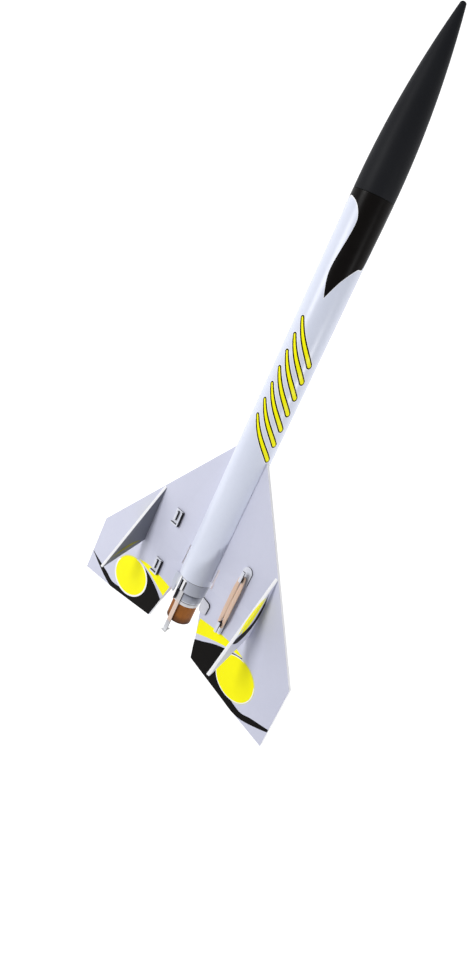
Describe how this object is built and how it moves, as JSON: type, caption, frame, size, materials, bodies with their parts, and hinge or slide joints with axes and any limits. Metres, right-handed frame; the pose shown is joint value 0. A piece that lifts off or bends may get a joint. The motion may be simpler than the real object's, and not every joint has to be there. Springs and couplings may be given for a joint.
{
  "type": "model rocket",
  "caption": "Delta-wing model rocket with ogive nose, upright fins, rubber-band elevons and a sliding sprung motor mount.",
  "frame": {"origin": "on the axis of the body tube, at the rear end of the body tube", "axes": "+Z along the body towards the nose, +X along the right wing, +Y away from the side where the fins stand"},
  "size_m": [0.1972, 0.0426, 0.4221],
  "materials": {
    "tube_paint": "satin paint over paper",
    "wing_paint": "satin paint over sheet wood",
    "nose_black": "gloss",
    "plug_black": "matte",
    "clay": "matte",
    "ring_paper": "bare paper",
    "casing_paper": "bare kraft paper",
    "mount_grey": "satin",
    "collar_grey": "satin",
    "hook_plastic": "gloss",
    "spring_steel": "brushed",
    "tab_plastic": "satin",
    "film": "satin",
    "band_rubber": "matte",
    "grain_black": "matte"
  },
  "bodies": {
    "airframe": {"body_tube": "tube_paint", "stop_ring": "ring_paper", "wing_left": "wing_paint", "wing_right": "wing_paint", "fin_left": "wing_paint", "fin_right": "wing_paint", "front_hook_left": "hook_plastic", "front_hook_right": "hook_plastic", "hinge_strip_left": "film", "hinge_strip_right": "film", "band_left": "band_rubber", "band_right": "band_rubber", "strand_left": "band_rubber", "strand_right": "band_rubber", "launch_lug": "tube_paint"},
    "nose": {"nose_cone": "nose_black", "nose_plug": "plug_black", "nose_weight": "clay"},
    "elevon_l": {"elevon_left": "wing_paint", "rear_hook_left": "hook_plastic", "latch_tab_left": "tab_plastic"},
    "elevon_r": {"elevon_right": "wing_paint", "rear_hook_right": "hook_plastic", "latch_tab_right": "tab_plastic"},
    "motor_mount": {"mount_tube": "mount_grey", "mount_front_ring": "ring_paper", "release_collar": "collar_grey", "latch_dog": "collar_grey", "thrust_ring": "ring_paper", "hook_anchor": "spring_steel"},
    "hook": {"engine_hook": "spring_steel"},
    "motor": {"motor_casing": "casing_paper", "motor_nozzle": "clay", "motor_propellant": "grain_black", "motor_delay": "clay", "motor_charge": "grain_black", "motor_cap": "clay"}
  },
  "joints": [
    {"name": "nose_slide", "type": "slide", "parent": "airframe", "child": "nose", "axis": [0, 0, 1], "range_m": [0, 0.018]},
    {"name": "elevon_right_swing", "type": "hinge", "parent": "airframe", "child": "elevon_r", "pos_m": [0.0335, -0.00125, 0.0045], "axis": [-1, 0, 0], "range_deg": [0, 25], "deforming": ["band_right", "hinge_strip_right"]},
    {"name": "elevon_left_swing", "type": "hinge", "parent": "airframe", "child": "elevon_l", "pos_m": [-0.0335, 0.00125, 0.0045], "axis": [1, 0, 0], "range_deg": [0, 25], "deforming": ["band_left", "hinge_strip_left"]},
    {"name": "mount_slide", "type": "slide", "parent": "airframe", "child": "motor_mount", "axis": [0, 0, -1], "range_m": [0, 0.005]},
    {"name": "motor_slide", "type": "slide", "parent": "motor_mount", "child": "motor", "axis": [0, 0, -1], "range_m": [0, 0.007]},
    {"name": "hook_flex", "type": "hinge", "parent": "motor_mount", "child": "hook", "pos_m": [0.00052, -0.00989, 0.003], "axis": [-0.9986, -0.0523, 0], "range_deg": [0, 3], "stiffness_Nm_per_rad": 0.02, "springref_deg": -1.72}
  ]
}
